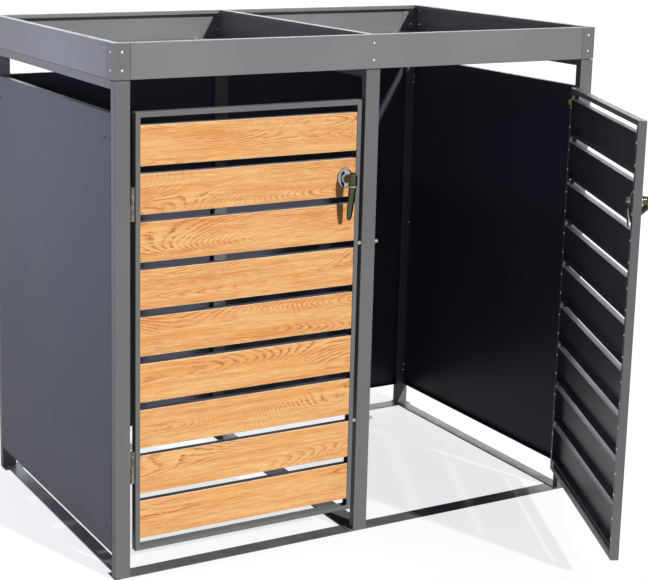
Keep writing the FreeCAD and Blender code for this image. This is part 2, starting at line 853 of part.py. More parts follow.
def frame_rivets():
    """Rivet heads on the planter and the wall panels, alike on both sides and both ends."""
    half_width = number("half_width")
    half_depth = number("half_depth")
    corner = number("corner_leg / 2")
    places = []
    for z in (number("planter_bottom + fascia_rivet_end"), number("overall_height - fascia_rivet_end")):
        for side in (-1, 1):
            for x in (corner - half_width, 0, half_width - corner):
                places.append((Vector(x, side * half_depth, z), Vector(0, side, 0)))
            for y in (corner - half_depth, half_depth - corner):
                places.append((Vector(side * half_width, y, z), Vector(side, 0, 0)))
    ends = [number("panel_bottom + panel_rivet_end"), number("panel_top - panel_rivet_end")]
    side_y = number("clear_depth / 2 - panel_rivet_side")
    rear_x = [
        number("post_width / 2 + panel_rivet_side"),
        number("half_width - post_width - panel_rivet_side"),
    ]
    for z in (ends[0], sum(ends) / 2, ends[1]):
        for side in (-1, 1):
            if z in ends:
                for y in (-side_y, side_y):
                    places.append((Vector(side * half_width, y, z), Vector(side, 0, 0)))
            for x in rear_x:
                places.append((Vector(side * x, half_depth, z), Vector(0, 1, 0)))
    return heads("frame_rivets", places)


def doors():
    still = [door_frame()] + slats() + [door_rivets(), hinges(), rosette()]
    turning = [lever(), cam()]
    for piece in still + turning:
        on_right_door(piece, piece.Label.replace("left", "right"), piece in turning)


def check_and_write():
    doc.recompute()
    for item in doc.Objects:
        if "Invalid" in item.State or "Error" in item.State:
            raise RuntimeError(f"{item.Label} failed: {item.State}")
    for label, part in nodes.items():
        if part.Shape.isNull() or not part.Shape.isValid() or not part.Shape.Solids:
            raise RuntimeError("bad shape in " + label)
    os.makedirs("parts", exist_ok=True)
    for label, part in nodes.items():
        part.Shape.exportStep(f"parts/{label}.step")
    print(len(nodes), "nodes written")


posts()
floor_rails()
top_rails()
walls()
planter_walls()
planter_divider()
planter_trays()
doors()
buffers()
frame_rivets()
check_and_write()
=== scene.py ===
import json
import math

import bmesh
import bpy
from bpy.props import FloatProperty, FloatVectorProperty, IntProperty, PointerProperty
from mathutils import Matrix, Vector


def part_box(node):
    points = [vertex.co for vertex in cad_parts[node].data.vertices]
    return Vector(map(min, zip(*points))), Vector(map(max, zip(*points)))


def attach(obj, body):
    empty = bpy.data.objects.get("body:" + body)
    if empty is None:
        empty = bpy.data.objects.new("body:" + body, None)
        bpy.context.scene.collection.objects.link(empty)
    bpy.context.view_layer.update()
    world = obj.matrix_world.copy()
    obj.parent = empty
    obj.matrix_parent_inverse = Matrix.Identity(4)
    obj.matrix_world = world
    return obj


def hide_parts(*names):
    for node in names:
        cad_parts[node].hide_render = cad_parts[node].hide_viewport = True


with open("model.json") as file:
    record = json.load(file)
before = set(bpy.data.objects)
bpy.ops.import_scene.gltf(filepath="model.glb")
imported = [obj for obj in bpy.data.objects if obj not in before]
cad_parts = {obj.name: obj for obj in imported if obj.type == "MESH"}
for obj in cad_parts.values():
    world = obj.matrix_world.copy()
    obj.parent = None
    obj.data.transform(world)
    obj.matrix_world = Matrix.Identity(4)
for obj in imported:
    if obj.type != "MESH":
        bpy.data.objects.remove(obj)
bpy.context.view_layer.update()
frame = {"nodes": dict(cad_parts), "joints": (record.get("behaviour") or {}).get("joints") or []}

bl_info = {
    "name": "Wheelie Bin Store",
    "version": (1, 0, 0),
    "blender": (4, 5, 0),
    "location": "View3D > Sidebar > Bin Store",
    "description": "Finishes and small fittings for a metal store for two wheelie bins",
    "category": "Object",
}

NODES = frame["nodes"]
JOINTS = {joint["name"]: joint for joint in frame["joints"]}
SIDES = ("left", "right")
OUTWARD = Vector((0, -1, 0))
UP = Vector((0, 0, 1))
MILLIMETRE = 0.001
SHARP_ANGLE = math.radians(38)
SAME_PLACE = 1e-6

DOOR_OPEN = -math.radians(JOINTS["right_door_hinge"]["range_deg"][0])
LEVER_TURN = -math.radians(JOINTS["right_handle_turn"]["range_deg"][0])


def corners(name):
    """The low and the high corner of a node's box."""
    return [Vector(corner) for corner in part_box(name)]


PLANTER_CORNER = corners("planter_corners")[1]
TRAY_LOW, TRAY_HIGH = corners("planter_tray_left")
REAR_POST_LOW = corners("post_rear_right")[0]
SLAT_LOW = corners("left_door_slat_1")[0]
NEXT_SLAT_LOW, NEXT_SLAT_HIGH = corners("left_door_slat_2")
SLAT_PITCH = SLAT_LOW.z - NEXT_SLAT_LOW.z
SLAT_GAP = SLAT_LOW.z - NEXT_SLAT_HIGH.z
DOOR_LOW, DOOR_HIGH = corners("left_door_frame")


def colour(name, description, default):
    return FloatVectorProperty(
        name=name, description=description, default=default, size=3, min=0, max=1, subtype="COLOR"
    )


def share(name, description, default):
    return FloatProperty(name=name, description=description, default=default, min=0, max=1, subtype="FACTOR")


def length(name, description, default):
    return FloatProperty(name=name, description=description, default=default, min=0, unit="LENGTH")


def strength(name, description, default):
    return FloatProperty(name=name, description=description, default=default, min=0)


class PaintSettings(bpy.types.PropertyGroup):
    """Powder coat on the folded steel."""

    # One powder coat in several greys: the planter and corner greys are lighter as painted light, the wall grey is
    # darker and bluer as painted shade.
    planter: colour("Planter grey", "Colour of the coat on the planter", (0.222, 0.222, 0.222))
    frame: colour("Frame grey", "Colour of the coat on posts, rails and door surrounds", (0.166, 0.166, 0.168))
    corners: colour("Corner grey", "Colour of the coat on the planter's corner pieces", (0.182, 0.182, 0.184))
    walls: colour("Wall grey", "Colour of the coat on the wall panels", (0.07, 0.074, 0.096))
    # Slat back grey: darker and bluer than the frame grey, painted shade on the slats' folds and backs.
    backs: colour("Slat back grey", "Colour of the coat on the slats' folds and backs", (0.066, 0.069, 0.085))
    gloss: share("Roughness", "Roughness of the powder coat", 0.36)
    sheen: share("Sheen", "Strength of the coat's reflections", 0.2)
    wall_sheen: share("Wall sheen", "Strength of the wall panels' reflections", 0.12)
    texture_size: length("Texture size", "Size of the coat's fine ripples", 0.0016)
    texture_depth: share("Texture depth", "Strength of the coat's fine ripples", 0.12)
    dust_colour: colour("Dust", "Colour of the dust on upward faces", (0.42, 0.41, 0.39))
    dust: share("Dust amount", "How much dust lies on upward faces", 0.25)


class PrintSettings(bpy.types.PropertyGroup):
    """Oak-look print on the slats' faces."""

    light: colour("Light wood", "Colour between the grain lines", (0.93, 0.572, 0.236))
    warm: colour("Warm wood", "Colour of the broad streaks", (0.82, 0.35, 0.105))
    dark: colour("Dark wood", "Colour of the grain lines", (0.5, 0.11, 0.025))
    # Fold colour: a painted highlight where the print goes round the slats' folds.
    fold_highlight: colour("Folds", "Colour of the print where it goes round the slats' folds", (0.95, 0.74, 0.6))
    gloss: share("Roughness", "Roughness of the print's varnish", 0.34)
    figure_length: length("Figure length", "Length of one figure of the grain", 0.52)
    figure_height: length("Figure height", "Height of one figure of the grain", 0.085)
    rings: FloatProperty(name="Rings", description="Grain lines per figure", default=60, min=1)


class MetalSettings(bpy.types.PropertyGroup):
    """Bright metal, rubber and plastic."""

    # Rose chrome: darker than plated chrome, a painted reflection of dark surroundings.
    chrome: colour("Chrome", "Colour of the chromed roses", (0.4, 0.41, 0.42))
    # Lever chrome: drawn dark olive, a painted reflection of dark ground and grass.
    lever: colour("Dark chrome", "Colour of the chromed levers", (0.09, 0.094, 0.055))
    # Bright chrome: the screws' own bright plating, and on the levers' rings a painted highlight.
    beading: colour("Bright chrome", "Colour of the levers' rings and the screws", (0.86, 0.86, 0.86))
    hinge: colour("Hinge steel", "Lighter colour of the bare hinges", (0.4, 0.37, 0.3))
    zinc: colour("Zinc", "Colour of the latch arms, tabs and bolt ends", (0.62, 0.66, 0.7))
    rivet: colour("Rivets", "Colour of the rivet heads", (0.8, 0.74, 0.7))
    fixing: colour("Dark rivets", "Colour of the painted rivets in the wall panels", (0.022, 0.022, 0.026))
    rubber: colour("Rubber", "Colour of the buffers", (0.6, 0.45, 0.37))
    yellow: colour("Yellow plastic", "Colour of the small plastic tab and dome", (0.72, 0.56, 0.02))
    black: colour("Black plastic", "Colour of the nuts behind the hinges", (0.012, 0.012, 0.014))


class FittingSettings(bpy.types.PropertyGroup):
    """Small fixings."""

    head_steps: IntProperty(name="Head steps", description="Flats round a rivet head", default=16, min=8)
    pin_share: share("Pin hollow", "Radius of the hollow in a rivet head, as a share of the head", 0.34)
    screw_radius: length("Screw radius", "Radius of the screws inside", 0.0034)
    screw_rise: length("Screw rise", "Height of the screws inside", 0.002)
    nut_radius: length("Nut radius", "Radius of the black nuts behind the hinges", 0.006)
    dome_radius: length("Dome radius", "Radius of the yellow dome", 0.008)
    tab_size: length("Tab size", "Side of the square tabs on the planter's floor", 0.008)


class StageSettings(bpy.types.PropertyGroup):
    """Floor, light and camera."""

    floor: colour("Floor", "Colour of the floor", (0.86, 0.86, 0.86))
    key: strength("Key light", "Strength of the key light", 3.2)
    fill: strength("Fill light", "Strength of the fill light, in watts", 10)
    back: strength("Back light", "Strength of the light on the back", 1.0)
    sky: strength("Sky", "Strength of the light all round", 0.16)


def settings(name):
    return getattr(bpy.context.scene, "bin_store_" + name)


# Materials


def add(tree, kind, **values):
    """A node with its properties set, and its inputs where a value names one with in_."""
    node = tree.nodes.new(kind)
    for key, value in values.items():
        if key.startswith("in_"):
            node.inputs[int(key[3:])].default_value = value
        else:
            setattr(node, key, value)
    return node


def feed(tree, value, socket):
    """Gives an input its value, which another node puts out or which is plain."""
    if isinstance(value, bpy.types.NodeSocket):
        tree.links.new(value, socket)
    elif socket.type == "RGBA":
        socket.default_value = (*value, 1)
    else:
        socket.default_value = value


def math_node(tree, operation, *values):
    node = add(tree, "ShaderNodeMath", operation=operation)
    for value, socket in zip(values, node.inputs):
        feed(tree, value, socket)
    return node.outputs[0]


def total(tree, first, *others):
    for other in others:
        first = math_node(tree, "ADD", first, other)
    return first


def product(tree, first, *others):
    for other in others:
        first = math_node(tree, "MULTIPLY", first, other)
    return first


def mix_colours(tree, amount, first, second):
    node = add(tree, "ShaderNodeMix", data_type="RGBA")
    for value, index in ((amount, 0), (first, 6), (second, 7)):
        feed(tree, value, node.inputs[index])
    return node.outputs[2]


def mix_values(tree, amount, first, second):
    node = add(tree, "ShaderNodeMix", data_type="FLOAT")
    for value, index in ((amount, 0), (first, 2), (second, 3)):
        feed(tree, value, node.inputs[index])
    return node.outputs[0]


def shade(base, amount):
    """A colour made darker or lighter."""
    return [amount * part for part in base]


def spread(tree, value, low, high, to_low=0.0, to_high=1.0):
    """A value moved from one range to another and held inside it."""
    node = add(tree, "ShaderNodeMapRange", in_1=low, in_2=high, in_3=to_low, in_4=to_high)
    feed(tree, value, node.inputs[0])
    return node.outputs[0]


def noise(tree, vector, scale, detail=2.0, roughness=0.5):
    node = add(tree, "ShaderNodeTexNoise")
    for key, value in (("Vector", vector), ("Scale", scale), ("Detail", detail), ("Roughness", roughness)):
        feed(tree, value, node.inputs[key])
    return node.outputs[0]


def stretched_noise(tree, vector, stretch, scale, detail=2.0, roughness=0.5):
    """Noise that is drawn out along the axes with the smaller stretch."""
    mapping = add(tree, "ShaderNodeMapping")
    mapping.inputs["Scale"].default_value = stretch
    feed(tree, vector, mapping.inputs["Vector"])
    return noise(tree, mapping.outputs[0], scale, detail, roughness)


def axis_parts(tree, vector):
    node = add(tree, "ShaderNodeSeparateXYZ")
    feed(tree, vector, node.inputs[0])
    return node.outputs


def new_group(name, inputs, outputs):
    group = bpy.data.node_groups.new(name, "ShaderNodeTree")
    for label, kind, default in inputs:
        socket = group.interface.new_socket(label, in_out="INPUT", socket_type="NodeSocket" + kind)
        if default is not None:
            socket.default_value = default
    for label, kind in outputs:
        group.interface.new_socket(label, in_out="OUTPUT", socket_type="NodeSocket" + kind)
    return group, group.nodes.new("NodeGroupInput").outputs, group.nodes.new("NodeGroupOutput").inputs


def ripple_group():
    """Fine ripples and slow drifts of a coat, on Object coordinates."""
    group, given, out = new_group(
        "Coat Ripple",
        [("Vector", "Vector", None), ("Size", "Float", 0.002)],
        [("Height", "Float"), ("Drift", "Float")],
    )
    scale = math_node(group, "DIVIDE", 1.0, given["Size"])
    feed(group, noise(group, given["Vector"], scale, 1.0), out["Height"])
    feed(group, noise(group, given["Vector"], 3.1, 3.0), out["Drift"])
    return group


def dust_group():
    """Where dust lies: on faces that look up, in soft patches."""
    group, given, out = new_group(
        "Dust", [("Vector", "Vector", None), ("Amount", "Float", 0.3)], [("Mask", "Float")]
    )
    normal = axis_parts(group, add(group, "ShaderNodeTexCoord").outputs["Normal"])
    upward = spread(group, normal[2], 0.5, 0.95)
    patches = spread(group, noise(group, given["Vector"], 14.0, 5.0, 0.65), 0.35, 0.7)
    feed(group, product(group, upward, patches, given["Amount"]), out["Mask"])
    return group


def grain_group():
    """Oak grain along X: ring lines round stretched figures, and short pores. Each slat differs."""
    group, given, out = new_group(
        "Oak Grain",
        [
            ("Vector", "Vector", None),
            ("Slat", "Float", 0.0),
            ("Figure Length", "Float", 0.4),
            ("Figure Height", "Float", 0.06),
            ("Rings", "Float", 9.0),
        ],
        [("Lines", "Float"), ("Pores", "Float"), ("Tone", "Float")],
    )
    jag_depth, tilt, line_start, line_peak = 0.014, 0.16, 0.3, 0.84
    place = axis_parts(group, given["Vector"])
    along = math_node(group, "DIVIDE", place[0], given["Figure Length"])
    along = total(group, along, product(group, given["Slat"], 7.31))
    upward = math_node(group, "DIVIDE", place[2], given["Figure Height"])
    figure_at = add(group, "ShaderNodeCombineXYZ")
    for value, socket in zip((along, product(group, given["Slat"], 3.7), upward), figure_at.inputs):
        feed(group, value, socket)
    figure_place = figure_at.outputs[0]

    figure = noise(group, figure_place, 0.8, 0.0)
    jags = stretched_noise(group, figure_place, (24, 1, 6), 1.0, 2.0, 0.6)
    height = total(group, figure, product(group, jags, jag_depth), product(group, upward, tilt))
    ring = math_node(group, "FRACT", product(group, height, given["Rings"]))
    rise = math_node(group, "POWER", spread(group, ring, line_start, line_peak), 1.7)
    fall = spread(group, ring, line_peak, 1.0, 1.0, 0.0)
    broken = spread(group, stretched_noise(group, figure_place, (14, 1, 18), 1.0), 0.32, 0.56)
    zones = spread(group, stretched_noise(group, figure_place, (1.2, 1, 1.6), 1.3, 1.0), 0.4, 0.64, 0.2, 1.0)
    feed(group, product(group, rise, fall, broken, zones), out["Lines"])

    fibres = stretched_noise(group, given["Vector"], (22, 22, 380), 1.0, 3.0, 0.7)
    feed(group, spread(group, fibres, 0.42, 0.66), out["Pores"])
    streaks = stretched_noise(group, figure_place, (1.6, 1, 7), 1.0, 3.0, 0.6)
    feed(group, spread(group, streaks, 0.4, 0.66), out["Tone"])
    return group


def place_group(tree, name, build, **values):
    """A group that more than one material uses, built the first time it is asked for."""
    node = add(tree, "ShaderNodeGroup", node_tree=bpy.data.node_groups.get(name) or build())
    for key, value in values.items():
        feed(tree, value, node.inputs[key.replace("_", " ").title()])
    return node.outputs


def new_material(name, base, roughness, metallic=0.0):
    """A material with its tree, its shader and its Object coordinates."""
    material = bpy.data.materials.new(name)
    material.use_nodes = True
    material.diffuse_color = (*base, 1)
    tree = material.node_tree
    shader = tree.nodes["Principled BSDF"]
    shader.inputs["Base Color"].default_value = (*base, 1)
    shader.inputs["Roughness"].default_value = roughness
    shader.inputs["Metallic"].default_value = metallic
    return material, tree, shader, add(tree, "ShaderNodeTexCoord").outputs["Object"]


def bump(tree, shader, height, depth, distance):
    node = add(tree, "ShaderNodeBump")
    node.inputs["Strength"].default_value = depth
    node.inputs["Distance"].default_value = distance
    feed(tree, height, node.inputs["Height"])
    feed(tree, node.outputs[0], shader.inputs["Normal"])


def paint_colour(tree, vector, grey):
    """The coat's colour, its roughness and its ripples, with dust on what looks up."""
    paint = settings("paint")
    ripple = place_group(tree, "Coat Ripple", ripple_group, vector=vector, size=paint.texture_size)
    dust = place_group(tree, "Dust", dust_group, vector=vector, amount=paint.dust)
    drift = spread(tree, ripple["Drift"], 0.3, 0.7)
    clean = mix_colours(tree, drift, shade(grey, 0.93), shade(grey, 1.06))
    dusty = mix_colours(tree, dust["Mask"], clean, paint.dust_colour)
    uneven = spread(tree, ripple["Drift"], 0.3, 0.7, -0.03, 0.04)
    rough = total(tree, uneven, paint.gloss, product(tree, dust["Mask"], 0.5))
    return dusty, rough, ripple["Height"]


def grey_paint(name, grey, sheen):
    paint = settings("paint")
    material, tree, shader, vector = new_material(name, grey, paint.gloss)
    shader.inputs["Specular IOR Level"].default_value = getattr(paint, sheen)
    base, rough, height = paint_colour(tree, vector, grey)
    feed(tree, base, shader.inputs["Base Color"])
    feed(tree, rough, shader.inputs["Roughness"])
    bump(tree, shader, height, paint.texture_depth, paint.texture_size * 0.1)
    return material


def slat_print(name, light, turn, first_slat):
    """Wood print on a slat's front with a painted highlight round its folds, and the grey coat, darkened as painted
    shade, on its folds and its back.
    """
    wood = settings("print")
    paint = settings("paint")
    material, tree, shader, vector = new_material(name, light, wood.gloss)
    shader.inputs["Specular IOR Level"].default_value = paint.sheen

    front = Matrix.Rotation(turn, 3, "Z") @ OUTWARD
    dot = add(tree, "ShaderNodeVectorMath", operation="DOT_PRODUCT", in_1=front)
    feed(tree, tree.nodes["Texture Coordinate"].outputs["Normal"], dot.inputs[0])
    facing = dot.outputs["Value"]
    on_front = spread(tree, facing, 0.2, 0.35)
    # Where the print turns round a fold it is lightened as a painted highlight.
    fold_highlight_mask = spread(tree, facing, 0.9, 0.99, 0.8, 0.0)

    straight = add(tree, "ShaderNodeVectorRotate", rotation_type="Z_AXIS")
    straight.inputs["Angle"].default_value = -turn
    feed(tree, vector, straight.inputs["Vector"])
    height = math_node(tree, "SUBTRACT", axis_parts(tree, straight.outputs[0])[2], NEXT_SLAT_HIGH.z)
    slat = math_node(tree, "FLOOR", math_node(tree, "DIVIDE", height, SLAT_PITCH))
    grain = place_group(
        tree, "Oak Grain", grain_group, vector=straight.outputs[0], slat=total(tree, slat, first_slat),
        rings=wood.rings, figure_length=wood.figure_length, figure_height=wood.figure_height,
    )

    printed = mix_colours(tree, product(tree, grain["Tone"], 0.75), light, wood.warm)
    printed = mix_colours(tree, grain["Lines"], printed, wood.dark)
    printed = mix_colours(tree, product(tree, grain["Pores"], 0.36), printed, wood.dark)
    printed = mix_colours(tree, fold_highlight_mask, printed, wood.fold_highlight)
    # The slats' folds and backs take the darker slat-back grey as painted shade.
    coat, rough, ripple = paint_colour(tree, vector, paint.backs)
    feed(tree, mix_colours(tree, on_front, coat, printed), shader.inputs["Base Color"])
    print_rough = total(tree, product(tree, grain["Lines"], 0.12), wood.gloss)
    feed(tree, mix_values(tree, on_front, rough, print_rough), shader.inputs["Roughness"])
    bump(tree, shader, ripple, paint.texture_depth, paint.texture_size * 0.06)
    return material


def bright_metal(name, base, roughness, unevenness):
    """Plated metal with faint uneven gloss."""
    material, tree, shader, vector = new_material(name, base, roughness, 1.0)
    ripple = place_group(tree, "Coat Ripple", ripple_group, vector=vector, size=0.004)
    rough = spread(tree, ripple["Height"], 0.25, 0.75, roughness - unevenness / 2, roughness + unevenness)
    feed(tree, rough, shader.inputs["Roughness"])
    drift = spread(tree, ripple["Drift"], 0.35, 0.65)
    feed(tree, mix_colours(tree, drift, shade(base, 0.86), base), shader.inputs["Base Color"])
    return material


def bare_steel(name, base, roughness):
    """Bare steel, speckled with tarnish."""
    material, tree, shader, vector = new_material(name, base, roughness, 0.8)
    specks = spread(tree, noise(tree, vector, 420.0, 3.0, 0.7), 0.4, 0.62)
    bands = spread(tree, stretched_noise(tree, vector, (20, 20, 75), 1.0), 0.4, 0.6, 0.35, 1.0)
    clean = product(tree, specks, bands)
    feed(tree, mix_colours(tree, clean, shade(base, 0.16), base), shader.inputs["Base Color"])
    feed(tree, spread(tree, specks, 0.0, 1.0, roughness + 0.25, roughness), shader.inputs["Roughness"])
    bump(tree, shader, specks, 0.3, 0.2 * MILLIMETRE)
    return material


def moulded(name, base, roughness):
    """Plastic or rubber with a slight grain."""
    material, tree, shader, vector = new_material(name, base, roughness)
    shader.inputs["Specular IOR Level"].default_value = 0.25
    ripple = place_group(tree, "Coat Ripple", ripple_group, vector=vector, size=0.0012)
    feed(tree, mix_colours(tree, ripple["Height"], shade(base, 0.8), base), shader.inputs["Base Color"])
    bump(tree, shader, ripple["Height"], 0.2, 0.1 * MILLIMETRE)
    return material


# Each finish: what makes it, the settings and the colour it starts from, and what is its own.
FINISHES = {
    # The four coats are one powder coat; the lighter planter and corner greys are painted light, the darker, bluer
    # wall grey painted shade.
    "Frame coat": (grey_paint, "paint", "frame", "sheen"),
    "Wall coat": (grey_paint, "paint", "walls", "wall_sheen"),
    "Planter coat": (grey_paint, "paint", "planter", "sheen"),
    "Corner coat": (grey_paint, "paint", "corners", "sheen"),
    "Oak print left": (slat_print, "print", "light", 0.0, 0.0),
    "Oak print right": (slat_print, "print", "light", DOOR_OPEN, 21.0),
    "Chrome": (bright_metal, "metal", "chrome", 0.07, 0.04),
    "Dark chrome": (bright_metal, "metal", "lever", 0.06, 0.04),
    "Bright chrome": (bright_metal, "metal", "beading", 0.12, 0.04),
    "Zinc plate": (bright_metal, "metal", "zinc", 0.3, 0.12),
    "Rivet steel": (bright_metal, "metal", "rivet", 0.28, 0.1),
    "Dark rivets": (moulded, "metal", "fixing", 0.4),
    "Hinge steel": (bare_steel, "metal", "hinge", 0.35),
    "Buffer rubber": (moulded, "metal", "rubber", 0.6),
    "Yellow plastic": (moulded, "metal", "yellow", 0.45),
    "Black plastic": (moulded, "metal", "black", 0.5),
}


def finish(name):
    """The material of one finish, built the first time it is asked for."""
    build, group, base, *own = FINISHES[name]
    return bpy.data.materials.get(name) or build(name, getattr(settings(group), base), *own)


def coat(node, name):
    """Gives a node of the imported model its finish."""
    slots = NODES[node].data.materials
    slots.clear()
    slots.append(finish(name))


# Shapes


def millimetres(*rows):
    return [tuple(MILLIMETRE * value for value in row) for row in rows]


# Sections of the levers and roses: height, shift along Y, half width and half thickness.
ROSE_PLATE = millimetres(
    (-1.5, 0, 20, 26), (0.6, 0, 20.4, 26.4), (3, 0, 20, 26), (4.8, 0, 18.9, 24.9), (6, 0, 17.2, 23.2),
    (6.7, 0, 15, 21), (7, 0, 12.5, 18.5),
)
LEVER_BLADE = millimetres(
    (-14.8, 0, 9.9, 9.6), (-20, 0.6, 9.8, 9.2), (-45, 4.8, 9.2, 7.8), (-70, 8.9, 8.3, 6.6),
    (-90, 12.1, 7.3, 5.6), (-96, 13, 6.4, 5), (-99.6, 13.6, 5, 4), (-101.4, 13.9, 3, 2.4), (-102, 14, 1, 0.8),
)
# Outlines of their turned parts: radius and height.
ROSE_COLLAR = millimetres(
    (0, 5), (12.6, 5), (12.4, 7.2), (11, 8.4), (10.4, 9.4), (10.4, 12.2), (9.8, 12.8), (0, 12.8)
)
ROSE_TAIL = millimetres((0, -14), (7.4, -14), (8, -13.4), (8, 0), (0, 0))
LEVER_HUB = millimetres(
    (0, -14.4), (10.2, -14.4), (10.4, -13.6), (10.8, -12), (11, 0),
    *((11 * math.cos(angle), 9 + 11 * math.sin(angle)) for angle in (step * math.pi / 16 for step in range(1, 8))),
    (0, 20),
)
LEVER_NECK = millimetres(
    (0, 0), (10, 0), (10, 8), (9.2, 12), (9, 16), (9.6, 20), (10.4, 22.6), (10.4, 24.6), (0, 24.7)
)
LEVER_SPINDLE = millimetres((0, 0), (4, 0), (4, 65), (3.2, 66), (0, 66))
LEVER_RING = millimetres(
    (9, -15.6), (10.8, -15.6), (11.4, -15.3), (11.6, -14.8), (11.4, -14.2), (10.8, -13.8), (9, -13.8), (9, -15.6)
)
# Outlines of radius one.
DOME = [(0, 0), (1, 0), (0.98, 0.2), (0.87, 0.5), (0.64, 0.76), (0.34, 0.93), (0, 1)]
ROUND_NUT = [(0, 0), (1, 0), (1, 0.5), (0.85, 0.7), (0.5, 0.75), (0, 0.75)]
BOLT_END = [(0, 0), (0.42, 0), (0.42, 0.95), (0.3, 1.08), (0, 1.08)]


def turned(profile, steps, radius=1):
    """A closed piece turned about Z from its outline of (radius, height) points, bottom first."""
    mesh = bmesh.new()
    points = [mesh.verts.new((out, 0, height)) for out, height in profile]
    edges = [mesh.edges.new(pair) for pair in zip(points, points[1:])]
    bmesh.ops.spin(
        mesh, geom=points + edges, cent=(0, 0, 0), axis=UP, angle=2 * math.pi, steps=steps, use_merge=True
    )
    bmesh.ops.remove_doubles(mesh, verts=mesh.verts, dist=SAME_PLACE)
    bmesh.ops.recalc_face_normals(mesh, faces=mesh.faces)
    bmesh.ops.scale(mesh, vec=(radius,) * 3, verts=mesh.verts)
    return mesh


def drawn_out(sections, steps):
    """A closed piece through oval sections of (height, shift along Y, half width, half thickness)."""
    mesh = bmesh.new()
    height, shift, width, thickness = sections[0]
    bmesh.ops.create_circle(mesh, cap_ends=True, segments=steps, radius=1)
    bmesh.ops.scale(mesh, vec=(width, thickness, 1), verts=mesh.verts)
    bmesh.ops.translate(mesh, vec=(0, shift, height), verts=mesh.verts)
    end = mesh.faces[:]
    for next_height, next_shift, next_width, next_thickness in sections[1:]:
        made = bmesh.ops.extrude_face_region(mesh, geom=end)["geom"]
        ring = [part for part in made if isinstance(part, bmesh.types.BMVert)]
        end = [part for part in made if isinstance(part, bmesh.types.BMFace)]
        middle = Matrix.Translation((0, -shift, -height))
        ratio = (next_width / width, next_thickness / thickness, 1)
        bmesh.ops.scale(mesh, vec=ratio, space=middle, verts=ring)
        bmesh.ops.translate(mesh, vec=(0, next_shift - shift, next_height - height), verts=ring)
        height, shift, width, thickness = next_height, next_shift, next_width, next_thickness
    bmesh.ops.recalc_face_normals(mesh, faces=mesh.faces)
    return mesh


def soften(mesh, bevel):
    bmesh.ops.bevel(
        mesh, geom=mesh.edges, offset=bevel, offset_type="OFFSET", segments=2, profile=0.5, affect="EDGES", material=-1
    )
    return mesh


def hexagon_nut(radius, height, bevel):
    """A nut with softened edges, its base at the origin."""
    mesh = bmesh.new()
    middle = Matrix.Translation((0, 0, height / 2))
    bmesh.ops.create_cone(
        mesh, cap_ends=True, segments=6, radius1=radius, radius2=radius, depth=height, matrix=middle
    )
    return soften(mesh, bevel)


def block(size, bevel):
    """A block centred on the origin with softened edges."""
    mesh = bmesh.new()
    bmesh.ops.create_cube(mesh, size=1)
    bmesh.ops.scale(mesh, vec=size, verts=mesh.verts)
    return soften(mesh, bevel)


def rivet_head(radius, rise, hollow, steps):
    """A domed head with the small hollow of its drawn pin."""
    return turned(
        [
            (0, 0),
            (radius, 0),
            (radius, rise * 0.28),
            (radius * 0.93, rise * 0.55),
            (radius * 0.74, rise * 0.84),
            (radius * (hollow + 0.16), rise),
            (radius * hollow, rise * 0.97),
            (radius * hollow * 0.8, rise * 0.45),
            (0, rise * 0.42),
        ],
        steps,
    )


def screw_head(radius, rise, steps=12):
    """A low pan head with its recess read as one round hollow."""
    return turned(
        [
            (0, 0),
            (radius, 0),
            (radius * 0.98, rise * 0.45),
            (radius * 0.7, rise * 0.95),
            (radius * 0.35, rise),
            (radius * 0.25, rise * 0.5),
            (0, rise * 0.45),
        ],
        steps,
    )


def aimed(place, direction):
    """A transform that puts a piece's Z axis along a direction, at a place."""
    return Matrix.Translation(place) @ Vector(direction).to_track_quat("Z", "Y").to_matrix().to_4x4()


LEVER_AT = Matrix.Translation((0, -38 * MILLIMETRE, 0))


def rose_parts():
    """The oval rose with its collar, and behind the slat its tail and nut."""
    outward = aimed((0, 0, 0), OUTWARD)
    behind = aimed((0, 3 * MILLIMETRE, 0), -OUTWARD)
    nut = hexagon_nut(13.4 * MILLIMETRE, 6 * MILLIMETRE, 0.6 * MILLIMETRE)
    turned_parts = [(turned(ROSE_COLLAR, 36), outward), (turned(ROSE_TAIL, 32), outward)]
    return [(drawn_out(ROSE_PLATE, 48), outward), *turned_parts, (nut, behind)]


def lever_parts():
    """The lever's domed hub, its tapered blade, its neck and its spindle."""
    inward = LEVER_AT @ aimed((0, 0, 0), -OUTWARD)
    return [
        (turned(LEVER_HUB, 36), LEVER_AT),
        (drawn_out(LEVER_BLADE, 28), LEVER_AT),
        (turned(LEVER_NECK, 36), inward),
        (turned(LEVER_SPINDLE, 24), inward),
    ]


def ring_parts():
    """The beaded ring where the lever's blade leaves its hub."""
    return [(turned(LEVER_RING, 36), LEVER_AT)]


def gather(parts):
    """One mesh of several, each put in its place."""
    whole = bpy.data.meshes.new("parts")
    mesh = bmesh.new()
    for part, transform in parts:
        copy = part.copy()
        bmesh.ops.transform(copy, matrix=transform, verts=copy.verts)
        if transform.determinant() < 0:
            bmesh.ops.reverse_faces(copy, faces=copy.faces)
        copy.to_mesh(whole)
        copy.free()
        mesh.from_mesh(whole)
    bpy.data.meshes.remove(whole)
    return mesh


def new_object(name, mesh, material):
    """An object of a mesh, at the origin."""
    data = bpy.data.meshes.new(name)
    mesh.to_mesh(data)
    mesh.free()
    data.materials.append(material)
    thing = bpy.data.objects.new(name, data)
    bpy.context.scene.collection.objects.link(thing)
    return thing


def piece(name, parts, material, body, replaced=()):
    """Makes a piece of its parts, each in its place, and lets it ride on its body."""
    thing = new_object(name, gather(parts), finish(material))
    thing.data.shade_smooth()
    thing.data.set_sharp_from_angle(angle=SHARP_ANGLE)
    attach(thing, body)
    if replaced:
        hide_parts(*replaced)


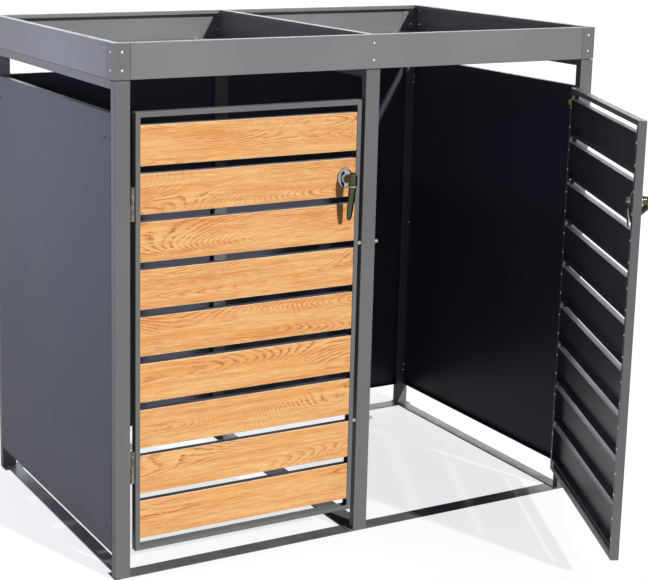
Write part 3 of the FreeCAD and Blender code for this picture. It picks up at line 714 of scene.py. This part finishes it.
def door_place(side):
    """From the left door's coordinates about its handle's axis to where the door of a side stands."""
    at = Matrix.Translation(JOINTS[f"{side}_handle_turn"]["pos_m"])
    if side == "left":
        return at
    return at @ Matrix.Rotation(DOOR_OPEN, 4, "Z") @ Matrix.Scale(-1, 4, Vector((1, 0, 0)))


def handle_offset(x, y, z):
    """A place on the left door, closed, seen from its handle's axis."""
    return Vector((x, y, z)) - Vector(JOINTS["left_handle_turn"]["pos_m"])


def islands(mesh):
    """The vertices of each part of a mesh that hangs together."""
    seen = set()
    for start in mesh.verts:
        if start in seen:
            continue
        seen.add(start)
        island = [start]
        for vertex in island:
            for edge in vertex.link_edges:
                other = edge.other_vert(vertex)
                if other not in seen:
                    seen.add(other)
                    island.append(other)
        yield island


def head_places(node):
    """The middle of each rivet head's base, its outward direction, its radius and its rise."""
    mesh = bmesh.new()
    mesh.from_mesh(NODES[node].data)
    bmesh.ops.remove_doubles(mesh, verts=mesh.verts, dist=SAME_PLACE)
    found = []
    for island in islands(mesh):
        faces = [face for vertex in island for face in vertex.link_faces]
        outward = -max(faces, key=lambda face: face.calc_area()).normal
        heights = [outward.dot(vertex.co) for vertex in island]
        low, high = min(heights), max(heights)
        base = [vertex.co for vertex, height in zip(island, heights) if height < (low + high) / 2]
        middle = sum(base, Vector()) / len(base)
        radius = max((point - middle).length for point in base)
        found.append((middle, outward, radius, high - low))
    mesh.free()
    return found


def domed_heads(places):
    """A domed head for each place of a plain one."""
    fittings = settings("fittings")
    return [
        (rivet_head(radius, rise, fittings.pin_share, fittings.head_steps), aimed(place, outward))
        for place, outward, radius, rise in places
    ]


# Operators


class PaintSteel(bpy.types.Operator):
    """Coats the posts, rails, walls, planter and door surrounds in grey"""

    bl_idname = "bin_store.paint_steel"
    bl_label = "Paint Steel"

    def execute(self, context):
        for name in NODES:
            # The planter and corners get lighter copies of the coat as painted light, the walls a darker, bluer copy
            # as painted shade.
            if name == "planter_corners":
                coat(name, "Corner coat")
            elif name.startswith("planter"):
                coat(name, "Planter coat")
            elif "panel" in name:
                coat(name, "Wall coat")
            else:
                coat(name, "Frame coat")
        return {"FINISHED"}


class PrintSlats(bpy.types.Operator):
    """Prints oak grain on the fronts of the slats"""

    bl_idname = "bin_store.print_slats"
    bl_label = "Print Slats"

    def execute(self, context):
        for side in SIDES:
            for name in NODES:
                if name.startswith(side + "_door_slat"):
                    coat(name, "Oak print " + side)
        return {"FINISHED"}


class PlateMetal(bpy.types.Operator):
    """Chromes the handles, and gives the latch arms, hinges, pins and buffers their finish"""

    bl_idname = "bin_store.plate_metal"
    bl_label = "Plate Metal"

    def execute(self, context):
        for side in SIDES:
            coat(side + "_handle_rosette", "Chrome")
            coat(side + "_handle_lever", "Chrome")
            coat(side + "_latch_cam", "Zinc plate")
        for name in NODES:
            if "hinge" in name:
                coat(name, "Hinge steel")
        coat("door_buffers", "Buffer rubber")
        return {"FINISHED"}


class SetRivets(bpy.types.Operator):
    """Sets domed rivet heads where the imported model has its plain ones"""

    bl_idname = "bin_store.set_rivets"
    bl_label = "Set Rivets"

    def execute(self, context):
        heads = head_places("frame_rivets")
        on_planter = [head for head in heads if head[0].z > TRAY_LOW.z]
        on_panels = [head for head in heads if head[0].z < TRAY_LOW.z]
        piece("planter_rivets", domed_heads(on_planter), "Rivet steel", "store", ["frame_rivets"])
        piece("panel_rivets", domed_heads(on_panels), "Dark rivets", "store")
        for side in SIDES:
            node = side + "_door_rivets"
            heads = domed_heads(head_places(node))
            piece(node + "_domed", heads, "Rivet steel", side + "_door", [node])
        return {"FINISHED"}


class FitHandles(bpy.types.Operator):
    """Fits each door's oval rose and its lever"""

    bl_idname = "bin_store.fit_handles"
    bl_label = "Fit Handles"

    def execute(self, context):
        for side in SIDES:
            place = door_place(side)
            turn = Matrix.Rotation(LEVER_TURN if side == "right" else 0, 4, "Y")
            rose = [(part, place @ at) for part, at in rose_parts()]
            # The rose's darkened chrome is a painted reflection.
            piece(side + "_rose", rose, "Chrome", side + "_door", [side + "_handle_rosette"])
            lever = [(part, place @ turn @ at) for part, at in lever_parts()]
            # The lever's dark olive chrome is a painted reflection.
            piece(side + "_lever", lever, "Dark chrome", side + "_handle", [side + "_handle_lever"])
            # The ring takes the bright chrome as a painted highlight on the dark lever.
            ring = [(part, place @ turn @ at) for part, at in ring_parts()]
            piece(side + "_lever_ring", ring, "Bright chrome", side + "_handle")
        return {"FINISHED"}


class AddInnerFixings(bpy.types.Operator):
    """Adds the screws and tabs that show inside the planter and the bays"""

    bl_idname = "bin_store.add_inner_fixings"
    bl_label = "Add Inner Fixings"

    below_top = (17.5 * MILLIMETRE, 59.5 * MILLIMETRE)
    corner_depth = 3 * MILLIMETRE
    along_rear, along_end = 22 * MILLIMETRE, 21 * MILLIMETRE
    tray_rows = (0.4, 0.355)
    from_divider, from_end, end_row_shift = 12 * MILLIMETRE, 11 * MILLIMETRE, 24 * MILLIMETRE
    divider_heads, divider_inset = (1.224, 1.264), 5.5 * MILLIMETRE
    post_heads, post_inset = (1.064, 1.045, 0.598, 0.129, 0.11), 25 * MILLIMETRE
    tab_columns, tab_height = (-0.084, 0.601), 1.2 * MILLIMETRE

    def execute(self, context):
        fittings = settings("fittings")
        head = screw_head(fittings.screw_radius, fittings.screw_rise)
        small = screw_head(fittings.screw_radius * 0.8, fittings.screw_rise * 0.8)
        end_x, rear_y, top = PLANTER_CORNER
        floor = TRAY_HIGH.z
        wall = rear_y - self.corner_depth
        screws = []
        for side in (-1, 1):
            for drop in self.below_top:
                at_rear = (side * (end_x - self.along_rear), wall, top - drop)
                at_end = (side * (end_x - self.corner_depth), rear_y - self.along_end, top - drop)
                screws += [(head, aimed(at_rear, OUTWARD)), (head, aimed(at_end, (-side, 0, 0)))]
            for y in self.tray_rows:
                by_divider = (side * self.from_divider, y, floor)
                by_end = (side * (end_x - self.from_end), y - self.end_row_shift, floor)
                screws += [(head, aimed(by_divider, UP)), (head, aimed(by_end, UP))]
            for z in self.divider_heads:
                screws.append((small, aimed((side * self.divider_inset, wall, z), OUTWARD)))
        for z in self.post_heads:
            screws.append((small, aimed((REAR_POST_LOW.x + self.post_inset, REAR_POST_LOW.y, z), OUTWARD)))
        piece("inner_screws", screws, "Bright chrome", "store")

        size = fittings.tab_size
        tab = block((size, size, self.tab_height), 0.3 * MILLIMETRE)
        tabs = [
            (tab, Matrix.Translation((x, TRAY_HIGH.y - size, floor + self.tab_height / 2)))
            for x in self.tab_columns
        ]
        piece("planter_floor_tabs", tabs, "Zinc plate", "store")
        return {"FINISHED"}


class AddDoorPlastics(bpy.types.Operator):
    """Adds the yellow tab and dome of the open door, and the nuts behind both doors' hinges"""

    bl_idname = "bin_store.add_door_plastics"
    bl_label = "Add Door Plastics"

    tab_size, tab_at = millimetres((5, 2.5, 12), (0, 12.2, 12))
    dome_height, dome_inset = 1.0856, 6 * MILLIMETRE
    hinge_gaps, nut_drop = (2, 7), 0.38
    web_sheet, nut_inset = 1.5 * MILLIMETRE, 8 * MILLIMETRE

    def execute(self, context):
        fittings = settings("fittings")
        open_door = door_place("right")
        tab = block(self.tab_size, 0.8 * MILLIMETRE)
        tab_parts = [(tab, open_door @ Matrix.Translation(self.tab_at))]
        piece("latch_tab", tab_parts, "Yellow plastic", "right_door")
        dome_at = handle_offset(DOOR_LOW.x + self.dome_inset, DOOR_HIGH.y, self.dome_height)
        dome_parts = [(turned(DOME, 24, fittings.dome_radius), open_door @ aimed(dome_at, -OUTWARD))]
        piece("hinge_dome", dome_parts, "Yellow plastic", "right_door")

        nut = turned(ROUND_NUT, 20, fittings.nut_radius)
        end = turned(BOLT_END, 16, fittings.nut_radius)
        for side in SIDES:
            places = []
            for gap in self.hinge_gaps:
                height = SLAT_LOW.z - (gap - 1) * SLAT_PITCH - self.nut_drop * SLAT_GAP
                at = handle_offset(DOOR_LOW.x + self.web_sheet, DOOR_HIGH.y - self.nut_inset, height)
                places.append(door_place(side) @ aimed(at, (1, 0, 0)))
            nuts = [(nut, place) for place in places]
            piece(side + "_hinge_nuts", nuts, "Black plastic", side + "_door")
            ends = [(end, place) for place in places]
            piece(side + "_hinge_bolt_ends", ends, "Zinc plate", side + "_door")
        return {"FINISHED"}


class BuildStage(bpy.types.Operator):
    """Lays the floor and sets the lamps, the sky and the camera"""

    bl_idname = "bin_store.build_stage"
    bl_label = "Build Stage"

    floor_reach = 30
    floor_drop = 0.5 * MILLIMETRE

    def execute(self, context):
        stage = settings("stage")
        mesh = bmesh.new()
        bmesh.ops.create_grid(mesh, x_segments=1, y_segments=1, size=self.floor_reach)
        floor = new_object("floor", mesh, floor_material(stage))
        floor.location.z = -self.floor_drop
        sun("key", stage.key, towards=(0.27, -0.84, 0.47), softness=2.5, tint=(1.0, 0.985, 0.955))
        sun("back", stage.back, towards=(0.4, 0.82, 0.42), softness=40, tint=(0.86, 0.92, 1.0))
        soft_box(
            "fill", stage.fill, place=(-1.7, -0.1, 1.2), aim=(-0.7, 0.05, 1.15), size=0.5, tint=(0.72, 0.74, 1.0)
        )
        context.scene.world = sky(stage)
        context.scene.view_settings.view_transform = "Standard"
        context.scene.camera = camera()
        return {"FINISHED"}


def lamp(name, kind, power, towards, tint):
    """A lamp whose light comes from a direction."""
    data = bpy.data.lights.new(name, kind)
    data.energy = power
    data.color = tint
    thing = bpy.data.objects.new(name, data)
    thing.rotation_euler = Vector(towards).to_track_quat("Z", "Y").to_euler()
    bpy.context.scene.collection.objects.link(thing)
    return thing


def sun(name, power, towards, softness, tint):
    lamp(name, "SUN", power, towards, tint).data.angle = math.radians(softness)


def soft_box(name, power, place, aim, size, tint):
    thing = lamp(name, "AREA", power, Vector(place) - Vector(aim), tint)
    thing.data.size = size
    thing.location = place
    thing.visible_camera = False
    thing.visible_glossy = False


def seen_directly(tree):
    """One where the camera, a mirror or glass sees the backdrop, and zero for light on the object."""
    path = add(tree, "ShaderNodeLightPath")
    either = math_node(tree, "MAXIMUM", path.outputs["Is Camera Ray"], path.outputs["Is Glossy Ray"])
    return math_node(tree, "MAXIMUM", either, path.outputs["Is Transmission Ray"])


def floor_material(stage):
    """A pale floor that keeps the store's shadow and throws little light back up."""
    lit_share, seen_share, glow = 0.3, 0.36, 0.78
    material, tree, shader, _ = new_material("Pale floor", stage.floor, 0.9)
    seen = seen_directly(tree)
    base = mix_colours(tree, seen, shade(stage.floor, lit_share), shade(stage.floor, seen_share))
    feed(tree, base, shader.inputs["Base Color"])
    shader.inputs["Emission Color"].default_value = (1, 1, 1, 1)
    feed(tree, product(tree, seen, glow), shader.inputs["Emission Strength"])
    return material


def sky(stage):
    """A white backdrop that lights the store with a weaker, bluer light."""
    world = bpy.data.worlds.new("Studio")
    world.use_nodes = True
    tree = world.node_tree
    background = tree.nodes["Background"]
    seen = seen_directly(tree)
    feed(tree, mix_colours(tree, seen, (0.66, 0.72, 1.0), (1.0, 1.0, 1.0)), background.inputs["Color"])
    feed(tree, spread(tree, seen, 0.0, 1.0, stage.sky, 1.0), background.inputs["Strength"])
    return world


def camera():
    """The photograph's view, from the left and above."""
    width, height = 648, 580
    focal_pixels, across, down = 1542.0, 250.0, 200.0
    yaw, pitch, roll = (math.radians(angle) for angle in (27.973, 11.29, 0.8755))
    place = Vector((-2.0222, -3.593, 1.6166))
    data = bpy.data.cameras.new("photo_view")
    data.sensor_width = 36
    data.lens = focal_pixels * data.sensor_width / width
    data.shift_x = (width / 2 - across) / width
    data.shift_y = (down - height / 2) / width
    data.clip_start, data.clip_end = 0.05, 100
    thing = bpy.data.objects.new("photo_view", data)
    turn = Matrix.Rotation(-yaw, 4, "Z") @ Matrix.Rotation(math.pi / 2 - pitch, 4, "X") @ Matrix.Rotation(roll, 4, "Z")
    thing.matrix_world = Matrix.Translation(place) @ turn
    bpy.context.scene.collection.objects.link(thing)
    return thing


class BinStorePanel(bpy.types.Panel):
    """Lists the steps that finish the store"""

    bl_idname = "VIEW3D_PT_bin_store"
    bl_label = "Wheelie Bin Store"
    bl_space_type = "VIEW_3D"
    bl_region_type = "UI"
    bl_category = "Bin Store"

    def draw(self, context):
        for group, operators in STEPS.items():
            column = self.layout.column(align=True)
            for operator in operators:
                column.operator(operator.bl_idname)
            values = settings(group)
            for key in values.bl_rna.properties.keys():
                if key not in ("rna_type", "name"):
                    column.prop(values, key)


GROUPS = {
    "paint": PaintSettings,
    "print": PrintSettings,
    "metal": MetalSettings,
    "fittings": FittingSettings,
    "stage": StageSettings,
}
STEPS = {
    "paint": [PaintSteel],
    "print": [PrintSlats],
    "metal": [PlateMetal],
    "fittings": [SetRivets, FitHandles, AddInnerFixings, AddDoorPlastics],
    "stage": [BuildStage],
}


def register():
    for name, group in GROUPS.items():
        bpy.utils.register_class(group)
        setattr(bpy.types.Scene, "bin_store_" + name, PointerProperty(type=group))
    for operators in STEPS.values():
        for operator in operators:
            bpy.utils.register_class(operator)
    bpy.utils.register_class(BinStorePanel)


def unregister():
    bpy.utils.unregister_class(BinStorePanel)
    for operators in STEPS.values():
        for operator in operators:
            bpy.utils.unregister_class(operator)
    for name, group in GROUPS.items():
        delattr(bpy.types.Scene, "bin_store_" + name)
        bpy.utils.unregister_class(group)


def main():
    register()
    for operators in STEPS.values():
        for operator in operators:
            area, name = operator.bl_idname.split(".")
            getattr(getattr(bpy.ops, area), name)()


if __name__ == "__main__":
    main()
